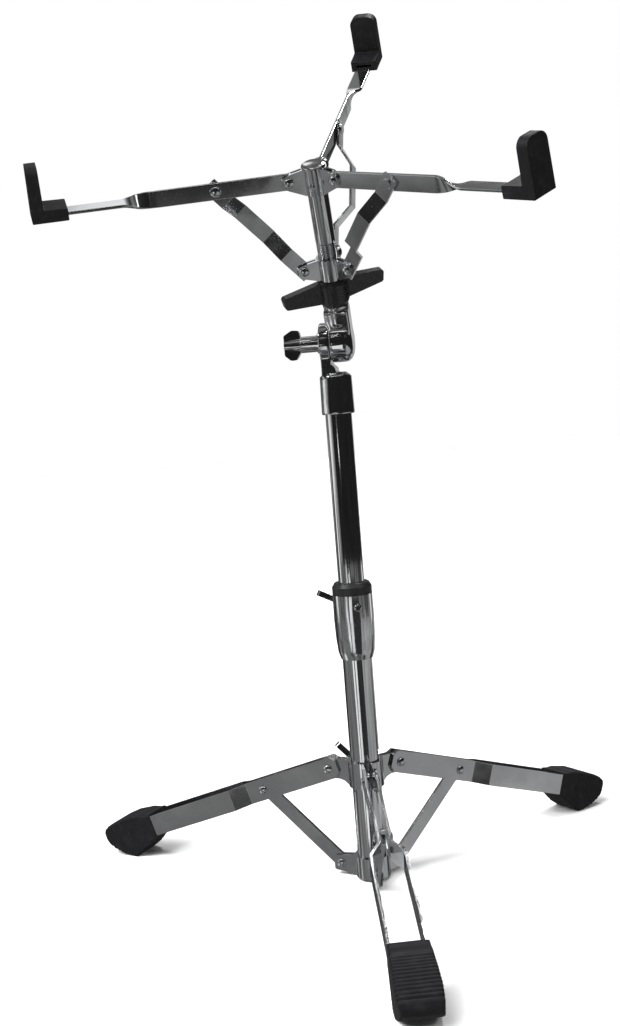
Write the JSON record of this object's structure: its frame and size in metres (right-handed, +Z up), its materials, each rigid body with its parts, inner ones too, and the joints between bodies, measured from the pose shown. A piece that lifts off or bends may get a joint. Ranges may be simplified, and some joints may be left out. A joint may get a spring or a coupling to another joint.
{
  "type": "snare drum stand",
  "caption": "Folding tripod stand with a telescoping tube, a tilting head and a clamping basket of arms with rubber grips that holds a snare drum.",
  "frame": {"origin": "centre of the footprint box on the floor", "axes": "+Z up along the stand tube, -Y the side the basket leans towards, +X along the tilter screw axis"},
  "size_m": [0.4739, 0.4694, 0.7476],
  "materials": {
    "chrome_tube": "bright chrome plate",
    "chrome_pressing": "bright chrome plate on pressed strip",
    "chrome_casting": "chrome plate on die casting",
    "black_rubber": "matte moulded rubber",
    "black_plastic": "smooth moulded nylon",
    "black_nylon": "satin nylon"
  },
  "bodies": {
    "base": {"base_tube": "chrome_tube", "lower_leg_hub": "chrome_pressing", "lower_hub_rivet_1": "chrome_pressing", "lower_hub_rivet_2": "chrome_pressing", "lower_hub_rivet_3": "chrome_pressing", "height_sleeve": "chrome_pressing", "sleeve_screw": "chrome_pressing"},
    "clamp_screw": {"clamp_wing_screw": "chrome_casting"},
    "bush": {"clamp_bush": "black_nylon"},
    "mast": {"upper_tube": "chrome_tube", "tilter_lower": "chrome_casting"},
    "leg_slider": {"upper_leg_hub": "chrome_pressing", "leg_hub_boss": "chrome_pressing", "upper_hub_rivet_1": "chrome_pressing", "upper_hub_rivet_2": "chrome_pressing", "upper_hub_rivet_3": "chrome_pressing"},
    "leg_screw": {"leg_wing_screw": "chrome_casting"},
    "basket_stem": {"tilter_upper": "chrome_casting", "basket_post": "chrome_tube", "post_collar": "chrome_pressing", "basket_crown": "chrome_pressing", "crown_cap": "chrome_pressing", "crown_screw": "chrome_pressing", "crown_rivet_1": "chrome_pressing", "crown_rivet_2": "chrome_pressing", "crown_rivet_3": "chrome_pressing"},
    "tilter_screw": {"tilter_wing_bolt": "chrome_casting"},
    "slider": {"basket_slider": "chrome_pressing"},
    "wing_nut": {"basket_wing_nut": "black_plastic"},
    "leg_1_body": {"leg_1": "chrome_pressing", "leg_foot_1": "black_rubber", "leg_stud_1a": "chrome_pressing", "leg_stud_1b": "chrome_pressing"},
    "leg_brace_1_body": {"leg_brace_1": "chrome_pressing"},
    "arm_1_body": {"arm_1": "chrome_pressing", "arm_grip_1": "black_rubber", "arm_stud_1": "chrome_pressing"},
    "basket_brace_1_body": {"basket_brace_1": "chrome_pressing", "slider_rivet_1": "chrome_pressing"},
    "leg_2_body": {"leg_2": "chrome_pressing", "leg_foot_2": "black_rubber", "leg_stud_2a": "chrome_pressing", "leg_stud_2b": "chrome_pressing"},
    "leg_brace_2_body": {"leg_brace_2": "chrome_pressing"},
    "arm_2_body": {"arm_2": "chrome_pressing", "arm_grip_2": "black_rubber", "arm_stud_2": "chrome_pressing"},
    "basket_brace_2_body": {"basket_brace_2": "chrome_pressing", "slider_rivet_2": "chrome_pressing"},
    "leg_3_body": {"leg_3": "chrome_pressing", "leg_foot_3": "black_rubber", "leg_stud_3a": "chrome_pressing", "leg_stud_3b": "chrome_pressing"},
    "leg_brace_3_body": {"leg_brace_3": "chrome_pressing"},
    "arm_3_body": {"arm_3": "chrome_pressing", "arm_grip_3": "black_rubber", "arm_stud_3": "chrome_pressing"},
    "basket_brace_3_body": {"basket_brace_3": "chrome_pressing", "slider_rivet_3": "chrome_pressing"}
  },
  "joints": [
    {"name": "leg_hub_slide", "type": "slide", "parent": "base", "child": "leg_slider", "axis": [0, 0, 1], "range_m": [0, 0.07921]},
    {"name": "leg_1_fold", "type": "hinge", "parent": "leg_slider", "child": "leg_1_body", "pos_m": [0.0389, 0.00235, 0.0956], "axis": [0.9703, 0.2419, 0], "range_deg": [0, 68.6]},
    {"name": "leg_brace_1_fold", "type": "hinge", "parent": "base", "child": "leg_brace_1_body", "pos_m": [0.03769, 0.0072, 0.011], "axis": [0.9703, 0.2419, 0], "range_deg": [-44.74, 0]},
    {"name": "leg_2_fold", "type": "hinge", "parent": "leg_slider", "child": "leg_2_body", "pos_m": [0.05499, 0.05846, 0.0956], "axis": [-0.6947, 0.7193, 0], "range_deg": [0, 68.6]},
    {"name": "leg_brace_2_fold", "type": "hinge", "parent": "base", "child": "leg_brace_2_body", "pos_m": [0.0514, 0.05499, 0.011], "axis": [-0.6947, 0.7193, 0], "range_deg": [-44.74, 0]},
    {"name": "leg_3_fold", "type": "hinge", "parent": "leg_slider", "child": "leg_3_body", "pos_m": [-0.00164, 0.04434, 0.0956], "axis": [-0.2756, -0.9613, 0], "range_deg": [0, 68.6]},
    {"name": "leg_brace_3_fold", "type": "hinge", "parent": "base", "child": "leg_brace_3_body", "pos_m": [0.00316, 0.04296, 0.011], "axis": [-0.2756, -0.9613, 0], "range_deg": [-44.74, 0]},
    {"name": "clamp_screw_turn", "type": "hinge", "parent": "base", "child": "clamp_screw", "pos_m": [0.03075, 0.03505, 0.238], "axis": [-0.4848, 0.8746, 0], "continuous": true},
    {"name": "leg_screw_turn", "type": "hinge", "parent": "leg_slider", "child": "leg_screw", "pos_m": [0.03075, 0.03505, 0.0936], "axis": [-0.3746, 0.9272, 0], "continuous": true},
    {"name": "swivel", "type": "hinge", "parent": "base", "child": "bush", "pos_m": [0.03075, 0.03505, 0.25], "axis": [0, 0, 1], "continuous": true},
    {"name": "height_slide", "type": "slide", "parent": "bush", "child": "mast", "axis": [0, 0, 1], "range_m": [-0.1, 0.09]},
    {"name": "tilt", "type": "hinge", "parent": "mast", "child": "basket_stem", "pos_m": [0.03075, 0.03505, 0.4616], "axis": [1, 0, 0], "range_deg": [-60, 30]},
    {"name": "tilter_screw_turn", "type": "hinge", "parent": "basket_stem", "child": "tilter_screw", "pos_m": [0.03075, 0.03505, 0.4616], "axis": [1, 0, 0], "continuous": true},
    {"name": "basket_slide", "type": "slide", "parent": "basket_stem", "child": "slider", "axis": [0, -0.5, 0.866], "range_m": [0, 0.0316]},
    {"name": "wing_nut_turn", "type": "hinge", "parent": "slider", "child": "wing_nut", "pos_m": [0.03805, 0.01155, 0.5023], "axis": [0, -0.5, 0.866], "continuous": true},
    {"name": "arm_1_fold", "type": "hinge", "parent": "basket_stem", "child": "arm_1_body", "pos_m": [0.04101, -0.01888, 0.5972], "axis": [-0.9903, 0.1205, 0.0696], "range_deg": [-70, 0]},
    {"name": "basket_brace_1_fold", "type": "hinge", "parent": "slider", "child": "basket_brace_1_body", "pos_m": [0.04101, 0.01807, 0.5332], "axis": [-0.9903, 0.1205, 0.0696], "range_deg": [-27.52, 0]},
    {"name": "arm_2_fold", "type": "hinge", "parent": "basket_stem", "child": "arm_2_body", "pos_m": [0.0183, -0.04406, 0.58266], "axis": [0.3746, -0.803, -0.4636], "range_deg": [-70, 0]},
    {"name": "basket_brace_2_fold", "type": "hinge", "parent": "slider", "child": "basket_brace_2_body", "pos_m": [0.0183, -0.00711, 0.51867], "axis": [0.3746, -0.803, -0.4636], "range_deg": [-27.52, 0]},
    {"name": "arm_3_fold", "type": "hinge", "parent": "basket_stem", "child": "arm_3_body", "pos_m": [0.05484, -0.04851, 0.5801], "axis": [0.6157, 0.6824, 0.394], "range_deg": [-70, 0]},
    {"name": "basket_brace_3_fold", "type": "hinge", "parent": "slider", "child": "basket_brace_3_body", "pos_m": [0.05484, -0.01156, 0.5161], "axis": [0.6157, 0.6824, 0.394], "range_deg": [-27.52, 0]}
  ],
  "couplings": [
    {"joint": "leg_1_fold", "follows": "leg_hub_slide", "rad_per_m": 15.115},
    {"joint": "leg_brace_1_fold", "follows": "leg_hub_slide", "rad_per_m": -9.8573},
    {"joint": "leg_2_fold", "follows": "leg_hub_slide", "rad_per_m": 15.115},
    {"joint": "leg_brace_2_fold", "follows": "leg_hub_slide", "rad_per_m": -9.8573},
    {"joint": "leg_3_fold", "follows": "leg_hub_slide", "rad_per_m": 15.115},
    {"joint": "leg_brace_3_fold", "follows": "leg_hub_slide", "rad_per_m": -9.8573},
    {"joint": "arm_1_fold", "follows": "basket_slide", "rad_per_m": -38.662},
    {"joint": "basket_brace_1_fold", "follows": "basket_slide", "rad_per_m": -15.198},
    {"joint": "arm_2_fold", "follows": "basket_slide", "rad_per_m": -38.662},
    {"joint": "basket_brace_2_fold", "follows": "basket_slide", "rad_per_m": -15.198},
    {"joint": "arm_3_fold", "follows": "basket_slide", "rad_per_m": -38.662},
    {"joint": "basket_brace_3_fold", "follows": "basket_slide", "rad_per_m": -15.198}
  ]
}
